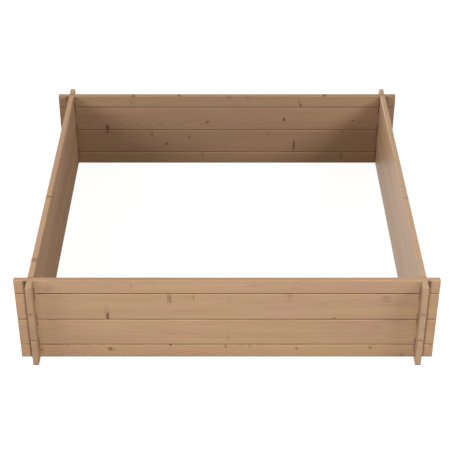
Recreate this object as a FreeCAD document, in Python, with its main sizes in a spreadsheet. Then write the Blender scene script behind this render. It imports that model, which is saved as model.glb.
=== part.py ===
import FreeCAD, Part
import os
from enum import IntEnum
import Sketcher

# A square raised garden bed: four walls of tongued and grooved boards stacked on edge,
# crossed at the corners in half-laps whose ends stand out past the walls, and open at
# the top and bottom. The front and back walls start on a half-height board and the side
# walls on a full one, so every joint of one wall meets the middle of a board of the next.
# The origin is on the ground at the centre of the footprint, +X to the right along the
# front wall, +Y from the front wall to the back wall, +Z up.

# Driving sizes in millimetres
DRIVING_SIZES = {
    "bed_width": 1500,          # front and back boards, end to end
    "bed_depth": 1500,          # side boards, end to end
    "end_overhang": 47,         # a board's end past the outer face of the wall it crosses
    "board_thickness": 21,
    "cover_height": 115,        # what one full board adds to the height of its wall
    "tongue_width": 5.5,
    "tongue_height": 6,
    "tongue_bevel": 1,          # starts the tongue in its groove
    "groove_side_play": 0.25,
    "groove_end_play": 1,
    "face_chamfer": 3,          # half of the V that shows at each joint, on both faces
    "shadow_gap": 0.8,          # open outer strip of the shoulders at the root of the V
    "shadow_depth": 1.2,
    "sawn_edge_ease": 1.5,      # small bevel of the plain top and bottom edges
    "notch_side_play": 0.7,
    "notch_floor_play": 0.4,
}

# Sizes that follow from the driving ones. A notch takes a quarter of the cover height from
# each edge of a full board, so the half left between two notches fills the two quarters
# that the boards of the crossing wall give up.
DERIVED_SIZES = {
    "half_thickness": "=board_thickness / 2",
    "half_cover": "=cover_height / 2",
    "half_tongue": "=tongue_width / 2",
    "tongue_tip": "=half_tongue - tongue_bevel",
    "half_groove": "=half_tongue + groove_side_play",
    "groove_depth": "=tongue_height + groove_end_play",
    "chamfer_foot": "=half_thickness - face_chamfer",
    "shoulder_edge": "=chamfer_foot - shadow_depth",
    "ease_foot": "=half_thickness - sawn_edge_ease",
    "half_notch": "=half_thickness + notch_side_play",
    "notch_depth": "=cover_height / 4 + notch_floor_play",
    "wall_inset": "=end_overhang + half_thickness",
}

PLAIN, GROOVED, TONGUED = "plain", "grooved", "tongued"


class Height(IntEnum):
    """A board's height, counted in half cover heights."""
    HALF = 1
    FULL = 2


class LineEnd(IntEnum):
    START = 1
    END = 2


class Fixed(IntEnum):
    """The parts of a sketch's own axes that its constraints refer to."""
    ORIGIN = -1
    HORIZONTAL_AXIS = -1
    VERTICAL_AXIS = -2


# Each wall from the ground up: a board's name, its height, and its lower and upper edge
HALF_BOARD_WALL = (
    ("bottom_half_board", Height.HALF, PLAIN, TONGUED),
    ("lower_board", Height.FULL, GROOVED, TONGUED),
    ("upper_board", Height.FULL, GROOVED, TONGUED),
    ("top_half_board", Height.HALF, GROOVED, PLAIN),
)
FULL_BOARD_WALL = (
    ("bottom_board", Height.FULL, PLAIN, TONGUED),
    ("middle_board", Height.FULL, GROOVED, TONGUED),
    ("top_board", Height.FULL, GROOVED, PLAIN),
)

# Each wall's name, its boards, the size they run along, the axis on which the wall
# stands away from the centre, the side of the centre it stands on, and its turn about +Z
WALLS = (
    ("front", HALF_BOARD_WALL, "bed_width", "y", -1, 0),
    ("back", HALF_BOARD_WALL, "bed_width", "y", 1, 0),
    ("left", FULL_BOARD_WALL, "bed_depth", "x", -1, 90),
    ("right", FULL_BOARD_WALL, "bed_depth", "x", 1, 90),
)
SPAN_ACROSS = {"y": "bed_depth", "x": "bed_width"}

ON_THE_AXIS = "0"
MM3_PER_LITRE = 1e6


def make_size_sheet(doc):
    sheet = doc.addObject("Spreadsheet::Sheet", "Sizes")
    rows = list(DRIVING_SIZES.items()) + list(DERIVED_SIZES.items())
    for row, (alias, value) in enumerate(rows, start=1):
        sheet.set(f"A{row}", alias)
        sheet.set(f"B{row}", str(value))
        sheet.setAlias(f"B{row}", alias)
    doc.recompute()
    return sheet


def origin_plane(body, role):
    return next(item for item in body.Origin.OriginFeatures if item.Role == role)


def new_sketch(body, name, role):
    sketch = body.newObject("Sketcher::SketchObject", name)
    sketch.AttachmentSupport = [(origin_plane(body, role), "")]
    sketch.MapMode = "FlatFace"
    return sketch


def draw_outline(sketch, points):
    """A closed outline through rough points, in which line i starts at point i."""
    corners = [FreeCAD.Vector(across, up, 0) for across, up in points]
    lines = [
        sketch.addGeometry(Part.LineSegment(start, end), False)
        for start, end in zip(corners, corners[1:] + corners[:1])
    ]
    for line, following in zip(lines, lines[1:] + lines[:1]):
        joint = Sketcher.Constraint("Coincident", line, LineEnd.END, following, LineEnd.START)
        sketch.addConstraint(joint)
    return lines


def rough_place(sheet, point):
    return tuple(float(sheet.evalExpression(text)) for text in point)


def hold_point(sketch, sheet, line, point):
    """Hold the start of a line at its distances from the sketch's origin."""
    for kind, text in zip(("DistanceX", "DistanceY"), point):
        if text == ON_THE_AXIS:
            rule = Sketcher.Constraint("PointOnObject", line, LineEnd.START, Fixed.HORIZONTAL_AXIS)
            sketch.addConstraint(rule)
            continue
        rough = float(sheet.evalExpression(text))
        ends = (Fixed.ORIGIN, LineEnd.START, line, LineEnd.START)
        index = sketch.addConstraint(Sketcher.Constraint(kind, *ends, rough))
        sketch.setExpression(f"Constraints[{index}]", text)


def lower_edge(form):
    """Half of a board's lower edge, from its middle out to its face."""
    if form == PLAIN:
        return [
            ("Sizes.ease_foot", ON_THE_AXIS),
            ("Sizes.half_thickness", "Sizes.sawn_edge_ease"),
        ]
    return [
        ("Sizes.half_groove", "Sizes.groove_depth"),
        ("Sizes.half_groove", ON_THE_AXIS),
        ("Sizes.chamfer_foot", ON_THE_AXIS),
        ("Sizes.half_thickness", "Sizes.face_chamfer"),
    ]


def upper_edge(form, top):
    """Half of a board's upper edge, from its face in to its middle."""
    if form == PLAIN:
        return [
            ("Sizes.half_thickness", f"{top} - Sizes.sawn_edge_ease"),
            ("Sizes.ease_foot", top),
        ]
    ledge = f"{top} - Sizes.shadow_gap"
    crest = f"{top} + Sizes.tongue_height"
    return [
        ("Sizes.half_thickness", f"{ledge} - Sizes.face_chamfer"),
        ("Sizes.chamfer_foot", ledge),
        ("Sizes.shoulder_edge", ledge),
        ("Sizes.shoulder_edge", top),
        ("Sizes.half_tongue", top),
        ("Sizes.half_tongue", f"{crest} - Sizes.tongue_bevel"),
        ("Sizes.tongue_tip", crest),
    ]


def pad_board(body, sheet, top, lower, upper, run):
    """The planed profile, the same on both faces, run over the board's length."""
    half = lower_edge(lower) + upper_edge(upper, top)
    rough = [rough_place(sheet, point) for point in half]
    mirrored = [(-across, up) for across, up in reversed(rough)]
    sketch = new_sketch(body, "Profile", "YZ_Plane")
    lines = draw_outline(sketch, rough + mirrored)
    right, left = lines[:len(half)], lines[len(half):]
    for line, twin, point in zip(right, reversed(left), half):
        ends = (line, LineEnd.START, twin, LineEnd.START)
        sketch.addConstraint(Sketcher.Constraint("Symmetric", *ends, Fixed.VERTICAL_AXIS))
        hold_point(sketch, sheet, line, point)
    pad = body.newObject("PartDesign::Pad", "Board")
    pad.Profile = sketch
    pad.SideType = "Symmetric"
    pad.setExpression("Length", f"Sizes.{run}")
    return pad


def cut_notch(body, sheet, name, run, floor, mouth):
    """A notch across the board, centred on the wall that it crosses."""
    centre = f"Sizes.{run} / 2 - Sizes.wall_inset"
    inner, outer = f"{centre} - Sizes.half_notch", f"{centre} + Sizes.half_notch"
    corners = [(inner, floor), (outer, floor), (outer, mouth), (inner, mouth)]
    sketch = new_sketch(body, name + "Outline", "XZ_Plane")
    lines = draw_outline(sketch, [rough_place(sheet, corner) for corner in corners])
    for line, corner in zip(lines, corners):
        hold_point(sketch, sheet, line, corner)
    pocket = body.newObject("PartDesign::Pocket", name)
    pocket.Profile = sketch
    pocket.Type = "ThroughAll"
    pocket.SideType = "Symmetric"
    return pocket


def cut_notches(body, sheet, board, top, run):
    """Notches on every edge that a crossing board locks into, repeated at both ends."""
    height, lower, upper = board
    notches = []
    if height == Height.FULL or lower != PLAIN:
        notches.append(cut_notch(body, sheet, "LowerNotch", run, "Sizes.notch_depth", ON_THE_AXIS))
    if height == Height.FULL or upper != PLAIN:
        floor = f"{top} - Sizes.notch_depth"
        mouth = f"{top} + Sizes.tongue_height + Sizes.tongue_bevel"
        notches.append(cut_notch(body, sheet, "UpperNotch", run, floor, mouth))
    mirror = body.newObject("PartDesign::Mirrored", "OtherEnd")
    mirror.Originals = notches
    mirror.MirrorPlane = (origin_plane(body, "YZ_Plane"), [""])
    body.Tip = mirror
    return notches


def make_board(doc, sheet, label, board, run):
    height, lower, upper = board
    top = f"{int(height)} * Sizes.half_cover"
    body = doc.addObject("PartDesign::Body", label)
    body.Label = label
    pad = pad_board(body, sheet, top, lower, upper, run)
    notches = cut_notches(body, sheet, board, top, run)
    return body, [pad] + notches + [body.Tip]


def place_board(body, base, axis, side, turn):
    up = FreeCAD.Vector(0, 0, 1)
    body.Placement = FreeCAD.Placement(FreeCAD.Vector(), FreeCAD.Rotation(up, turn))
    away = f"{side} * (Sizes.{SPAN_ACROSS[axis]} / 2 - Sizes.wall_inset)"
    body.setExpression(f".Placement.Base.{axis}", away)
    body.setExpression(".Placement.Base.z", f"{base} * Sizes.half_cover")


def make_walls(doc, sheet):
    boards = {}
    for wall, courses, run, axis, side, turn in WALLS:
        base = 0
        for name, *board in courses:
            body, steps = make_board(doc, sheet, f"{wall}_{name}", board, run)
            place_board(body, base, axis, side, turn)
            boards[body] = steps
            base += board[0]
    return boards


def check_model(doc, boards):
    for item in doc.Objects:
        if {"Invalid", "Error"} & set(item.State):
            raise RuntimeError(f"{item.Label} did not build: {item.State}")
    for body, steps in boards.items():
        if body.Shape.isNull() or not body.Shape.isValid() or len(body.Shape.Solids) != 1:
            raise RuntimeError(f"{body.Label} is not one sound solid")
        volumes = [step.Shape.Volume for step in steps]
        if any(after >= before for before, after in zip(volumes, volumes[1:])):
            raise RuntimeError(f"a notch of {body.Label} cuts nothing")


def write_parts(boards):
    os.makedirs("parts", exist_ok=True)
    for body in boards:
        body.Shape.exportStep(f"parts/{body.Label}.step")
        box = body.Shape.BoundBox
        low = f"{box.XMin:.1f} {box.YMin:.1f} {box.ZMin:.1f}"
        high = f"{box.XMax:.1f} {box.YMax:.1f} {box.ZMax:.1f}"
        print(f"{body.Label}: {low} to {high}, {body.Shape.Volume / MM3_PER_LITRE:.3f} litres")


def main():
    doc = FreeCAD.newDocument("raised_garden_bed")
    sheet = make_size_sheet(doc)
    boards = make_walls(doc, sheet)
    doc.recompute()
    check_model(doc, boards)
    write_parts(boards)


main()
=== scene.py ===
import math
import bpy
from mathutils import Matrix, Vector


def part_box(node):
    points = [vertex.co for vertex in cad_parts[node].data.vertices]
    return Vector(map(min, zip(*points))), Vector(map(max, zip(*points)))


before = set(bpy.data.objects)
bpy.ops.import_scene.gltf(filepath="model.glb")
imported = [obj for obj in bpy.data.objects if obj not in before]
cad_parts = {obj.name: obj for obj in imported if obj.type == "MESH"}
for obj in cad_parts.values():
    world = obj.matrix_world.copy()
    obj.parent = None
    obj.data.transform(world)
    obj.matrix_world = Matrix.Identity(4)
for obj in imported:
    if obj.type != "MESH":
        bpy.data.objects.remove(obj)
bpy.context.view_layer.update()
print("boards loaded:", len(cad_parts))

millimetre = 0.001


class Value:
    # one number that varies over the surface; an expression on it adds its Math nodes
    def __init__(self, finish, socket):
        self.finish = finish
        self.socket = socket

    def do(self, operation, *others):
        return self.finish.add("ShaderNodeMath", {"operation": operation}, [self, *others])

    def flipped(self, operation, first):
        return self.finish.add("ShaderNodeMath", {"operation": operation}, [first, self])

    def __add__(self, other):
        return self.do("ADD", other)

    def __sub__(self, other):
        return self.do("SUBTRACT", other)

    def __rsub__(self, first):
        return self.flipped("SUBTRACT", first)

    def __mul__(self, other):
        return self.do("MULTIPLY", other)

    def __truediv__(self, other):
        return self.do("DIVIDE", other)

    def __rtruediv__(self, first):
        return self.flipped("DIVIDE", first)

    def __pow__(self, other):
        return self.do("POWER", other)

    def __abs__(self):
        return self.do("ABSOLUTE")

    __radd__ = __add__
    __rmul__ = __mul__

    def rise(self, low, high, start=0.0, end=1.0):
        # eases from start to end while the number goes from low to high
        settings = {"interpolation_type": "SMOOTHSTEP"}
        return self.finish.add("ShaderNodeMapRange", settings, [self, low, high, start, end])


class Finish:
    # a node tree, cleared, and the one way its nodes are made
    def __init__(self, owner):
        owner.use_nodes = True
        self.owner = owner
        self.tree = owner.node_tree
        self.tree.nodes.clear()

    def add(self, kind, settings, values, out=0):
        node = self.tree.nodes.new(kind)
        for key, setting in settings.items():
            setattr(node, key, setting)
        pairs = values.items() if isinstance(values, dict) else enumerate(values)
        for key, value in pairs:
            if isinstance(value, Value):
                self.tree.links.new(value.socket, node.inputs[key])
            else:
                node.inputs[key].default_value = value
        return Value(self, node.outputs[out]) if node.outputs else None

    def vector(self, operation, *values, out=0):
        return self.add("ShaderNodeVectorMath", {"operation": operation}, values, out)

    def point(self, along, across, up):
        return self.add("ShaderNodeCombineXYZ", {}, [along, across, up])

    def noise(self, place, detail):
        values = {"Vector": place, "Scale": 1.0, "Detail": detail}
        return self.add("ShaderNodeTexNoise", {}, values)

    def parts(self, vector):
        split = self.add("ShaderNodeSeparateXYZ", {}, [vector]).socket.node
        return [Value(self, output) for output in split.outputs]

    def blend(self, factor, first, second, way="MIX"):
        settings = {"data_type": "RGBA", "blend_type": way}
        return self.add("ShaderNodeMix", settings, {0: factor, 6: first, 7: second}, out=2)


def paint(tone):
    return (*tone, 1.0)


def strongest(values):
    # the largest of several numbers, point by point
    largest = values[0]
    for value in values[1:]:
        largest = largest.do("MAXIMUM", value)
    return largest


# The timber: spruce, planed and stained light brown
timber = {
    "pinkTone": (0.520, 0.326, 0.212),
    "yellowTone": (0.503, 0.337, 0.198),
    "endTone": (0.500, 0.325, 0.203),
    "endTint": 0.6,                          # how much of endTone a sawn end takes
    "bandDepth": 0.28,                       # how far each layer of the grain changes the tone
    "streakDepth": 0.20,
    "fibreDepth": 0.12,
    "fleckDepth": 0.10,
    "slopeHighlight": 0.28,                  # the slopes beside the joints that face up are painted lighter: painted highlight
    "softEdge": 0.6 * millimetre,
    "softSteps": 2,
    "sharpAngle": math.radians(35),          # edges that bend less than this stay as they are
    "weldGap": 0.01 * millimetre,
}

# Which way a face looks: how much of its normal has to point there, from none to all of it
facing = {
    "sawnEnd": (0.80, 0.95),
    "slope": (0.45, 0.65),                   # a planed slope looks up more than this
    "slopeEnd": (0.80, 0.92),                # and less than this
    "top": (0.85, 0.95),
    "level": (0.5, 0.9),                     # up or down, where the sides stop being upright
}

# Layers of the grain: how fast each changes along, across and up, per metre, and its detail
grain = {
    "bands": (1.3, 20.0, 24.0, 3.0),
    "streaks": (5.0, 170.0, 190.0, 3.0),
    "fibres": (42.0, 1300.0, 1300.0, 2.0),   # what the planer leaves
    "flecks": (90.0, 700.0, 800.0, 1.0),
    "blotches": (3.2, 12.0, 9.0, 2.0),
    "fleckEdge": (0.66, 0.80),
    "blotchEdge": (0.35, 0.65),
}

# Growth rings: each darkens slowly to its late wood and ends at once
growth = {
    "lateTone": (0.300, 0.160, 0.082),
    "lateWood": (0.40, 0.88),                # from where to where in a ring it darkens
    "lateEnd": (0.92, 1.0),
    "endRings": 0.15,                        # how much clearer the rings are on a sawn end
    "driftPace": 3.0,                        # how fast the heart sways across and up the board
    "driftDetail": 2.0,
    "driftApart": (7.3, 1.9, 4.1),           # keeps its two ways of swaying apart
}

# A knot, with its reach as 1 at its rim
knot = {
    "eyeTone": (0.150, 0.070, 0.036),
    "eyeEdge": (0.45, 1.20),
    "eyeDepth": 0.78,
    "rimTone": (0.085, 0.038, 0.020),        # the thin dark line round it
    "rimInside": (0.40, 0.85),
    "rimOutside": (0.90, 1.25),
    "rimFrom": 0.28,                         # a knot fainter than this has no rim
    "resinTone": (0.310, 0.165, 0.092),      # what tints the wood beside it
    "resinEdge": (0.80, 2.60),
    "resinDepth": 0.45,
    "bendEdge": (0.60, 4.50),                # how far out it bends the grain, and how much
    "bend": 0.80,
    "raggedPace": 260.0,                     # how uneven its rim is
    "raggedDetail": 3.0,
    "ragged": 0.9,
}

# The corner joint, sized as in the CAD
cornerJoint = {
    "overhang": 47 * millimetre,             # a board's end past the wall that it crosses
    "thickness": 21 * millimetre,
    "notchDepth": 28.75 * millimetre,        # how far each notch is cut into its board's edge
    "notchEase": 0.98,                       # the share of that depth at which a slit starts to end
}

# Painted shade: in the joints, in the corners, in the slits beside the notches, at the ground
paintedShade = {
    "tone": (0.046, 0.024, 0.012),
    "jointShade": 0.90,
    "jointDark": 2.0 * millimetre,           # each is dark this far out, and gone at its fade
    "jointFade": 2.7 * millimetre,
    "jointLip": 1.1 * millimetre,            # how far above its seam a joint's shade is centred
    "endNarrows": 0.5,                       # a joint is narrower and paler on the sawn ends
    "endPales": 0.25,
    "outsideShade": 0.50,
    "insideShade": 0.10,
    "cornerFade": 25 * millimetre,
    "slitShade": 0.45,
    "slitDark": 2.0 * millimetre,
    "slitFade": 5.0 * millimetre,
    "groundShade": 0.72,
    "groundDark": 1.8 * millimetre,
    "groundFade": 5.5 * millimetre,
}

# The planed surface: its sheen, what changes it, and how far each layer stands out
planedFace = {
    "gloss": 0.01,
    "roughness": 0.72,
    "streakRoughness": 0.25,
    "ringRoughness": 0.06,
    "eyeRoughness": 0.15,
    "endRoughness": 0.15,
    "fibreRelief": 0.6,
    "streakRelief": 0.6,
    "ringRelief": 0.4,
    "eyeRelief": 0.4,
    "fleckRelief": 0.5,
    "reliefStrength": 0.35,
    "reliefDepth": 0.4 * millimetre,
}


def grainLayer(finish, board, layer, along, across, up):
    paceAlong, paceAcross, paceUp, detail = grain[layer]
    place = finish.point(along * paceAlong + board["seed"], across * paceAcross, up * paceUp)
    return finish.noise(place, detail)


def blotchPattern(finish, board, along, across, up):
    paceAlong, paceAcross, paceUp, detail = grain["blotches"]
    place = finish.point(along * paceAlong, across * paceAcross, up * paceUp + board["seed"])
    return finish.noise(place, detail).rise(*grain["blotchEdge"])


def ringPattern(finish, board, along, across, up):
    # growth rings round a heart that lies beside the board and sways along it
    pace, detail = growth["driftPace"], growth["driftDetail"]
    drift = finish.point(along * board["swayPace"] + board["seed"], across * pace, up * pace)
    swayUp = finish.noise(drift, detail) - 0.5
    swayAcross = finish.noise(finish.vector("ADD", drift, growth["driftApart"]), detail) - 0.5
    heartAcross, heartUp = board["heart"]
    sway = 2 * board["sway"] * millimetre
    fromHeartUp = up - heartUp + swayUp * sway
    fromHeartAcross = across - heartAcross + along * board["taper"] + swayAcross * sway
    radius = (fromHeartUp ** 2.0 + fromHeartAcross ** 2.0) ** 0.5
    turn = (radius / (board["ringGap"] * millimetre)).do("FRACT")
    return turn.rise(*growth["lateWood"]) * turn.rise(*growth["lateEnd"], 1.0, 0.0)


def knotPattern(finish, board, along, height):
    # each knot runs through the thickness: its eye, its rim, the resin beside it, and how far
    # it bends the grain up or down
    eyes, rims, resins, bends = [], [], [], []
    spot = finish.point(along, height, 0.0)
    pace = knot["raggedPace"]
    rimPlace = finish.point(along * pace, height * pace, 0.0)
    uneven = finish.noise(rimPlace, knot["raggedDetail"]) - 0.5
    for knotAlong, knotHeight, width, tall, depth in board["knots"]:
        fromKnot = finish.vector("SUBTRACT", spot, (knotAlong, knotHeight, 0.0))
        stretch = (2 / (width * millimetre), 2 / (tall * millimetre), 0.0)
        reach = finish.vector("LENGTH", finish.vector("MULTIPLY", fromKnot, stretch), out=1)
        reach = reach + uneven * knot["ragged"]
        rimDepth = max(0.0, depth - knot["rimFrom"])
        rim = reach.rise(*knot["rimInside"], 0.0, rimDepth)
        eyes.append(reach.rise(*knot["eyeEdge"], knot["eyeDepth"] * depth, 0.0))
        rims.append(rim * reach.rise(*knot["rimOutside"], 1.0, 0.0))
        resins.append(reach.rise(*knot["resinEdge"], knot["resinDepth"] * depth, 0.0))
        bends.append((height - knotHeight) * reach.rise(*knot["bendEdge"], knot["bend"], 0.0))
    return strongest(eyes), strongest(rims), strongest(resins), sum(bends[1:], bends[0])


def jointPattern(board, height, endFacing):
    # painted shade in the joints, and less of it where the boards' ends show
    lip = paintedShade["jointLip"]
    shade = board.get("jointShade", paintedShade["jointShade"])
    narrowing = 1.0 + endFacing * paintedShade["endNarrows"]
    lines = []
    for joint in board["joints"]:
        gap = abs(height - (joint + lip) + endFacing * lip) * narrowing
        lines.append(gap.rise(paintedShade["jointDark"], paintedShade["jointFade"], shade, 0.0))
    return strongest(lines) * (1.0 - endFacing * paintedShade["endPales"])


def cornerPattern(board, along, height, reach, upright):
    # painted shade: darker at the ground, in the corners beside a crossing wall and in the
    # slits where the crossing boards fill this board's notches
    outward = abs(along) - (reach - cornerJoint["overhang"])
    inward = (outward + cornerJoint["thickness"]) * -1.0
    fade, depth = paintedShade["cornerFade"], cornerJoint["notchDepth"]
    outside = outward.rise(0.0, fade, paintedShade["outsideShade"], 0.0) * outward.do("GREATER_THAN", 0.0)
    inside = inward.rise(0.0, fade, paintedShade["insideShade"], 0.0) * inward.do("GREATER_THAN", 0.0)
    notched = strongest([
        abs(height - edge).rise(cornerJoint["notchEase"] * depth, depth, 1.0, 0.0)
        for edge in board["joints"] + board.get("notchedEdges", [])
    ])
    beside = outward.do("MAXIMUM", inward)
    slitShade = board.get("slitShade", paintedShade["slitShade"])
    slit = beside.rise(paintedShade["slitDark"], paintedShade["slitFade"], slitShade, 0.0) * notched
    corner = strongest([outside + inside, slit]) * upright
    ground = height.rise(paintedShade["groundDark"], paintedShade["groundFade"], paintedShade["groundShade"], 0.0)
    return strongest([corner, ground])


def boardFinish(board, runsAlong, low, high):
    finish = Finish(bpy.data.materials.new("spruce_" + board["node"]))
    x, y, height = finish.parts(finish.add("ShaderNodeTexCoord", {}, [], out="Object"))
    along, across = (x, y) if runsAlong == "x" else (y, x)
    side = 1 if runsAlong == "x" else 0
    across = across - (low[side] + high[side]) / 2
    up = height - (low[2] + high[2]) / 2

    # which way the surface faces: sawn ends, planed slopes, tops, and upright sides
    normal = finish.add("ShaderNodeNewGeometry", {}, [], out="Normal")
    normalX, normalY, normalUp = finish.parts(normal)
    endFacing = abs(normalX if runsAlong == "x" else normalY).rise(*facing["sawnEnd"])
    upwardSlope = normalUp.rise(*facing["slope"]) * normalUp.rise(*facing["slopeEnd"], 1.0, 0.0)
    topFacing = normalUp.rise(*facing["top"])
    upright = abs(normalUp).rise(*facing["level"], 1.0, 0.0) * (1.0 - endFacing)

    eye, rim, resin, bend = knotPattern(finish, board, along, height)
    grainUp = up - bend
    rings = ringPattern(finish, board, along, across, grainUp)
    bands, streaks, fibres, flecks = [
        grainLayer(finish, board, layer, along, across, grainUp)
        for layer in ("bands", "streaks", "fibres", "flecks")
    ]
    flecks = flecks.rise(*grain["fleckEdge"])
    blotches = blotchPattern(finish, board, along, across, up)

    tone = finish.blend(blotches, paint(timber["pinkTone"]), paint(timber["yellowTone"]))
    tone = finish.blend(endFacing * timber["endTint"], tone, paint(timber["endTone"]))
    tone = finish.blend(1.0, tone, paint(board["tone"]), "MULTIPLY")
    ringDepth = rings * (board["ringContrast"] + endFacing * growth["endRings"])
    tone = finish.blend(ringDepth, tone, paint(growth["lateTone"]))
    level = 1.0 + (bands - 0.5) * timber["bandDepth"] + (streaks - 0.5) * timber["streakDepth"]
    level = level + (fibres - 0.5) * timber["fibreDepth"] - flecks * timber["fleckDepth"]
    # painted highlight: slopes that face up beside the joints are lightened
    level = level * (1.0 + upwardSlope * timber["slopeHighlight"])
    # painted highlight: the tops of some boards are lightened
    level = level * (1.0 + topFacing * board.get("topHighlight", 0.0))
    tone = finish.blend(1.0, tone, finish.point(level, level, level), "MULTIPLY")
    tone = finish.blend(resin, tone, paint(knot["resinTone"]))
    tone = finish.blend(eye, tone, paint(knot["eyeTone"]))
    tone = finish.blend(rim, tone, paint(knot["rimTone"]))
    # painted shade: joints, corners, notch slits and the ground are blended towards a dark colour
    crevice = jointPattern(board, height, endFacing)
    corner = cornerPattern(board, along, height, high[1 - side], upright)
    tone = finish.blend(strongest([crevice, corner]), tone, paint(paintedShade["tone"]))

    roughness = board.get("roughness", planedFace["roughness"])
    roughness = roughness + (streaks - 0.5) * planedFace["streakRoughness"]
    roughness = roughness - rings * planedFace["ringRoughness"] - eye * planedFace["eyeRoughness"]
    roughness = roughness + endFacing * planedFace["endRoughness"]
    relief = fibres * planedFace["fibreRelief"] + streaks * planedFace["streakRelief"]
    relief = relief - rings * planedFace["ringRelief"] - eye * planedFace["eyeRelief"]
    relief = relief - flecks * planedFace["fleckRelief"]
    bump = finish.add("ShaderNodeBump", {}, {
        "Height": relief,
        "Strength": planedFace["reliefStrength"],
        "Distance": planedFace["reliefDepth"],
    })
    surface = finish.add("ShaderNodeBsdfPrincipled", {}, {
        "Base Color": tone,
        "Roughness": roughness,
        "Normal": bump,
        "Specular IOR Level": board.get("gloss", planedFace["gloss"]),
    })
    finish.add("ShaderNodeOutputMaterial", {}, {"Surface": surface})
    return finish.owner


# Edges lose their knife sharpness: the imported faces are welded, then lightly rounded
def softenEdges(node):
    weld = node.modifiers.new("weld", "WELD")
    weld.merge_threshold = timber["weldGap"]
    soft = node.modifiers.new("softEdge", "BEVEL")
    soft.width = timber["softEdge"]
    soft.segments = timber["softSteps"]
    soft.limit_method = "ANGLE"
    soft.angle_limit = timber["sharpAngle"]


def dressBoard(board):
    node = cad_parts[board["node"]]
    low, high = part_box(board["node"])
    runsAlong = "x" if high[0] - low[0] > high[1] - low[1] else "y"
    node.data.materials.clear()
    node.data.materials.append(boardFinish(board, runsAlong, low, high))
    softenEdges(node)


# Each board: its tone; the heights, in metres, of the joints that it meets and of its other
# notched edges; its log's heart from the board's middle (across, up), in metres, how far (mm)
# and how fast that heart sways, and the log's taper; the rings' gap (mm) and contrast; and its
# knots: place along it, height, width and height in mm, and how dark. Some boards also have
# their own gloss, roughness, painted shade in the joints and slits, or a painted highlight on the
# top
# The front wall's four boards have tones raised above the others': painted light
frontTopHalfBoard = {
    "node": "front_top_half_board", "seed": 1.7, "tone": (1.03, 1.02, 1.02),
    "joints": [0.2875],
    "heart": (0.030, -0.070), "sway": 16, "swayPace": 1.3, "taper": 0.012,
    "ringGap": 3.2, "ringContrast": 0.1,
    "topHighlight": 0.05,
    "knots": [
        (-0.337, 0.320, 8, 34, 0.18), (-0.6345, 0.331, 4, 13, 0.24),
        (-0.632, 0.312, 28, 24, 0.12), (0.235, 0.3105, 14, 7, 0.14),
        (0.247, 0.3365, 20, 4, 0.16), (0.0885, 0.326, 40, 18, 0.07),
    ],
}
frontUpperBoard = {
    "node": "front_upper_board", "seed": 4.2, "tone": (1.04, 1.02, 1.01),
    "joints": [0.1725, 0.2875],
    "heart": (-0.052, 0.012), "sway": 16, "swayPace": 1.3, "taper": 0.01,
    "ringGap": 3.4, "ringContrast": 0.12,
    "knots": [
        (-0.2085, 0.2690, 4.5, 31, 0.58), (-0.2008, 0.2690, 4.5, 31, 0.62),
        (-0.205, 0.2515, 38, 3.4, 0.34), (-0.165, 0.2525, 120, 3.0, 0.14),
        (-0.1185, 0.272, 4.5, 20, 0.48), (-0.147, 0.275, 26, 4, 0.12),
        (-0.4265, 0.188, 9, 30, 0.86), (-0.4335, 0.214, 4, 26, 0.24),
        (-0.4205, 0.212, 4, 24, 0.20), (0.222, 0.273, 20, 26, 0.20),
        (0.222, 0.2545, 34, 3.2, 0.34), (0.176, 0.2655, 60, 3, 0.10),
        (0.564, 0.270, 32, 24, 0.24), (0.566, 0.2545, 44, 3.6, 0.36),
        (0.004, 0.272, 4, 26, 0.14), (0.011, 0.268, 4, 22, 0.12), (0.383, 0.178, 16, 10, 0.40),
    ],
}
frontLowerBoard = {
    "node": "front_lower_board", "seed": 8.9, "tone": (1.04, 1.01, 0.99),
    "joints": [0.0575, 0.1725],
    "heart": (0.060, 0.020), "sway": 16, "swayPace": 1.3, "taper": -0.012,
    "ringGap": 3.6, "ringContrast": 0.12,
    "knots": [
        (-0.198, 0.109, 56, 3.2, 0.15), (-0.121, 0.109, 46, 3.2, 0.13),
        (-0.520, 0.107, 50, 3.2, 0.10), (0.005, 0.093, 8, 30, 0.14),
    ],
}
frontBottomHalfBoard = {
    "node": "front_bottom_half_board", "seed": 12.4, "tone": (1.07, 1.04, 0.97),
    "joints": [0.0575],
    "heart": (0.055, -0.036), "sway": 16, "swayPace": 2.8, "taper": 0.075,
    "ringGap": 3.9, "ringContrast": 0.24,
    "knots": [
        (-0.4246, 0.0365, 14, 13, 0.76), (-0.409, 0.0320, 5, 6, 0.45),
        (-0.0045, 0.0492, 7, 9, 0.75), (0.0835, 0.0500, 7, 7, 0.50),
        (0.2534, 0.0380, 7, 8, 0.72), (0.5207, 0.0436, 9, 8, 0.62),
        (0.640, 0.009, 14, 10, 0.40), (-0.6746, 0.0325, 9, 8, 0.50),
        (-0.577, 0.0505, 8, 5, 0.45), (-0.2052, 0.0550, 9, 6, 0.78),
    ],
}
backTopHalfBoard = {
    "node": "back_top_half_board", "seed": 21.3, "tone": (0.97, 0.96, 0.95),
    "joints": [0.2875],
    "heart": (-0.040, 0.060), "sway": 18, "swayPace": 1.5, "taper": 0.015,
    "ringGap": 3.4, "ringContrast": 0.12,
    "jointShade": 0.58, "slitShade": 0.92,
    "knots": [
        (-0.417, 0.346, 8, 10, 0.80), (-0.4255, 0.317, 24, 38, 0.13),
        (-0.2135, 0.347, 12, 7, 0.70), (0.009, 0.338, 16, 9, 0.45),
        (0.0913, 0.338, 14, 8, 0.40), (0.3286, 0.300, 8, 12, 0.85),
        (0.3212, 0.320, 6, 22, 0.32), (0.4336, 0.347, 13, 7, 0.80),
        (-0.098, 0.340, 20, 6, 0.25),
    ],
}
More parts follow.
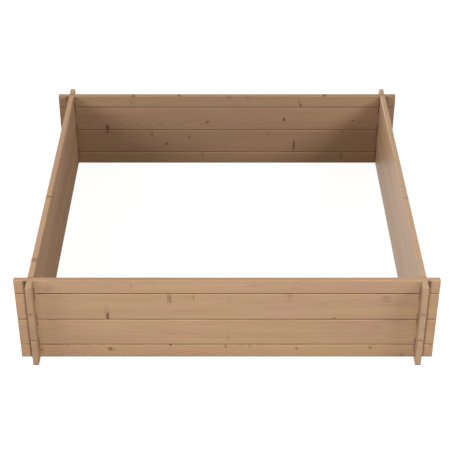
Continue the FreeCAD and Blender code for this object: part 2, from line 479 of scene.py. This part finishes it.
backUpperBoard = {
    "node": "back_upper_board", "seed": 25.8, "tone": (0.97, 0.95, 0.94),
    "joints": [0.1725, 0.2875],
    "heart": (0.050, -0.030), "sway": 20, "swayPace": 1.8, "taper": 0.03,
    "ringGap": 4.0, "ringContrast": 0.16,
    "jointShade": 0.58, "slitShade": 0.92,
    "knots": [
        (-0.0879, 0.2138, 10, 11, 0.58), (0.1689, 0.2292, 6, 9, 0.32),
        (0.2567, 0.2266, 9, 18, 0.78), (0.5646, 0.2215, 7, 10, 0.72),
        (-0.5412, 0.1850, 12, 24, 0.86),
    ],
}
backLowerBoard = {
    "node": "back_lower_board", "seed": 31.1, "tone": (0.97, 0.94, 0.92),
    "joints": [0.0575, 0.1725],
    "heart": (-0.020, 0.035), "sway": 26, "swayPace": 2.4, "taper": -0.04,
    "ringGap": 4.4, "ringContrast": 0.2,
    "jointShade": 0.58, "slitShade": 0.92,
    "knots": [
        (-0.3403, 0.1510, 6, 22, 0.58), (-0.2737, 0.1022, 13, 11, 0.74),
        (-0.1712, 0.1385, 9, 10, 0.60), (-0.1704, 0.1414, 4, 30, 0.26),
        (-0.1640, 0.1540, 30, 3.4, 0.24), (0.0953, 0.1518, 11, 8, 0.35),
        (0.1815, 0.1518, 12, 8, 0.38), (0.3048, 0.0950, 9, 40, 0.80),
        (0.5189, 0.166, 10, 10, 0.45), (-0.5405, 0.1625, 8, 11, 0.78),
    ],
}
backBottomHalfBoard = {
    "node": "back_bottom_half_board", "seed": 36.6, "tone": (0.97, 0.94, 0.90),
    "joints": [0.0575],
    "heart": (0.035, 0.020), "sway": 16, "swayPace": 1.3, "taper": 0.015,
    "ringGap": 3.4, "ringContrast": 0.14,
    "jointShade": 0.58, "slitShade": 0.92,
    "knots": [(-0.1124, 0.0415, 5, 22, 0.50), (0.5233, 0.0388, 8, 22, 0.40)],
}
leftTopBoard = {
    "node": "left_top_board", "seed": 41.5, "tone": (0.98, 0.97, 0.97),
    "joints": [0.230], "notchedEdges": [0.345],
    "heart": (0.045, -0.050), "sway": 16, "swayPace": 1.4, "taper": 0.015,
    "ringGap": 3.4, "ringContrast": 0.12,
    "topHighlight": 0.17,
    "knots": [
        (-0.152, 0.346, 8, 10, 0.60), (-0.577, 0.344, 18, 12, 0.45),
        (0.210, 0.300, 8, 12, 0.30),
    ],
}
leftMiddleBoard = {
    "node": "left_middle_board", "seed": 46.3, "tone": (0.94, 0.93, 0.93),
    "joints": [0.115, 0.230],
    "heart": (-0.055, 0.015), "sway": 16, "swayPace": 1.4, "taper": 0.015,
    "ringGap": 3.4, "ringContrast": 0.12,
    "knots": [(-0.280, 0.190, 10, 12, 0.45), (0.415, 0.140, 8, 24, 0.40)],
}
leftBottomBoard = {
    "node": "left_bottom_board", "seed": 52.7, "tone": (0.97, 0.94, 0.92),
    "joints": [0.115], "notchedEdges": [0.0],
    "heart": (0.050, 0.030), "sway": 16, "swayPace": 1.4, "taper": 0.015,
    "ringGap": 3.4, "ringContrast": 0.12,
    "knots": [(0.120, 0.060, 12, 12, 0.45), (-0.500, 0.085, 7, 20, 0.40)],
}
rightTopBoard = {
    "node": "right_top_board", "seed": 57.2, "tone": (1.01, 0.99, 0.95),
    "joints": [0.230], "notchedEdges": [0.345],
    "heart": (-0.045, -0.045), "sway": 16, "swayPace": 1.4, "taper": 0.015,
    "ringGap": 3.4, "ringContrast": 0.12,
    "gloss": 0.40, "roughness": 0.48, "topHighlight": 0.04,
    "knots": [
        (-0.077, 0.345, 4, 8, 0.40), (-0.163, 0.345, 6, 8, 0.45), (-0.590, 0.344, 7, 8, 0.24),
    ],
}
rightMiddleBoard = {
    "node": "right_middle_board", "seed": 63.4, "tone": (1.01, 0.99, 0.98),
    "joints": [0.115, 0.230],
    "heart": (0.052, 0.018), "sway": 18, "swayPace": 1.6, "taper": 0.015,
    "ringGap": 3.4, "ringContrast": 0.13,
    "gloss": 0.40, "roughness": 0.48,
    "knots": [(0.254, 0.215, 8, 36, 0.30), (-0.330, 0.160, 9, 12, 0.30)],
}
rightBottomBoard = {
    "node": "right_bottom_board", "seed": 68.8, "tone": (1.00, 0.98, 0.96),
    "joints": [0.115], "notchedEdges": [0.0],
    "heart": (-0.040, 0.035), "sway": 18, "swayPace": 1.6, "taper": 0.015,
    "ringGap": 3.4, "ringContrast": 0.13,
    "gloss": 0.40, "roughness": 0.48,
    "knots": [(-0.080, 0.055, 10, 12, 0.40), (0.460, 0.080, 7, 18, 0.35)],
}

frontWall = [frontBottomHalfBoard, frontLowerBoard, frontUpperBoard, frontTopHalfBoard]
backWall = [backBottomHalfBoard, backLowerBoard, backUpperBoard, backTopHalfBoard]
sideWalls = [
    leftBottomBoard, leftMiddleBoard, leftTopBoard,
    rightBottomBoard, rightMiddleBoard, rightTopBoard,
]
for board in frontWall + backWall + sideWalls:
    dressBoard(board)
print("boards dressed:", len(frontWall + backWall + sideWalls))


# Floor: pale, keeps the shadow of the boards, and glows to white for the eye and for gloss
white = (1.0, 1.0, 1.0)
floor = {"reach": 30.0, "sunk": 0.05 * millimetre, "tone": (0.30, 0.30, 0.30), "glow": 0.87}


def seenRays(finish):
    # 1 for rays from the camera and for what glossy or clear surfaces show, 0 for light
    rays = [
        finish.add("ShaderNodeLightPath", {}, [], out=kind)
        for kind in ("Is Camera Ray", "Is Glossy Ray", "Is Transmission Ray")
    ]
    return strongest(rays)


def makeFloor():
    half = floor["reach"] / 2
    corners = [(-half, -half), (half, -half), (half, half), (-half, half)]
    mesh = bpy.data.meshes.new("studio_floor")
    mesh.from_pydata([(x, y, -floor["sunk"]) for x, y in corners], [], [(0, 1, 2, 3)])
    ground = bpy.data.objects.new("studio_floor", mesh)
    bpy.context.scene.collection.objects.link(ground)
    finish = Finish(bpy.data.materials.new("studio_floor"))
    lit = finish.add("ShaderNodeBsdfDiffuse", {}, {"Color": paint(floor["tone"])})
    strength = seenRays(finish) * floor["glow"]
    glow = finish.add("ShaderNodeEmission", {}, {"Color": paint(white), "Strength": strength})
    both = finish.add("ShaderNodeAddShader", {}, [lit, glow])
    finish.add("ShaderNodeOutputMaterial", {}, {"Surface": both})
    mesh.materials.append(finish.owner)


makeFloor()
print("floor laid")

# Surround: white for the eye and for gloss, faint and even as light
surround = {"light": 0.10, "seen": 1.0}


def makeSurround():
    world = bpy.data.worlds.new("studio_surround")
    bpy.context.scene.world = world
    finish = Finish(world)
    strength = surround["light"] + seenRays(finish) * (surround["seen"] - surround["light"])
    sky = finish.add("ShaderNodeBackground", {}, {"Color": paint(white), "Strength": strength})
    finish.add("ShaderNodeOutputWorld", {}, {"Surface": sky})


makeSurround()
print("surround set")

# Lamps, all turned to the middle of the bed: where each hangs and how wide it is, in metres,
# and its watts
bedMiddle = (0, 0, 0.17)
lamps = [
    {"name": "frontLeftLamp", "place": (-2.2, -1.2, 1.29), "wide": 0.9, "watts": 23.4},
    {"name": "frontRightLamp", "place": (2.2, -1.2, 1.65), "wide": 0.9, "watts": 35.3},
    {"name": "leftLamp", "place": (-4.54, 1.22, 1.88), "wide": 1.9, "watts": 47.2},
    {"name": "backLeftLamp", "place": (-3.2, 3.0, 1.6), "wide": 1.5, "watts": 31.5},
    {"name": "frontLamp", "place": (0, -3.1, 0.60), "wide": 0.3, "watts": 13.4},
    {"name": "lowFrontLamp", "place": (0, -3.1, 0.30), "wide": 0.25, "watts": 21.1},
    {"name": "backLamp", "place": (0, 3.4, 0.70), "wide": 0.5, "watts": 52.6},
    {"name": "topLamp", "place": (0, 0.6, 3.6), "wide": 1.6, "watts": 27.6},
]


def hangLamp(lamp):
    light = bpy.data.lights.new(lamp["name"], "AREA")
    light.shape = "SQUARE"
    light.size = lamp["wide"]
    light.energy = lamp["watts"]
    holder = bpy.data.objects.new(lamp["name"], light)
    holder.location = lamp["place"]
    towards = Vector(bedMiddle) - Vector(lamp["place"])
    holder.rotation_euler = towards.to_track_quat("-Z", "Y").to_euler()
    holder.visible_camera = False
    bpy.context.scene.collection.objects.link(holder)


for lamp in lamps:
    hangLamp(lamp)
print("lamps hung:", len(lamps))

# Camera: above and in front, square to the front wall
photoView = {
    "place": (0.0, -4.1366, 2.8722),
    "pitchDown": 33.82,
    "focal": 1215.7,                         # in pixels of an image this many pixels wide
    "imageSide": 454,
}


def placeCamera():
    lens = bpy.data.cameras.new("photoCamera")
    lens.lens = photoView["focal"] / photoView["imageSide"] * lens.sensor_width
    holder = bpy.data.objects.new("photoCamera", lens)
    holder.location = photoView["place"]
    holder.rotation_euler = (math.radians(90 - photoView["pitchDown"]), 0, 0)
    bpy.context.scene.collection.objects.link(holder)
    bpy.context.scene.camera = holder


placeCamera()
print("camera placed")
bpy.context.scene.view_settings.view_transform = "Standard"
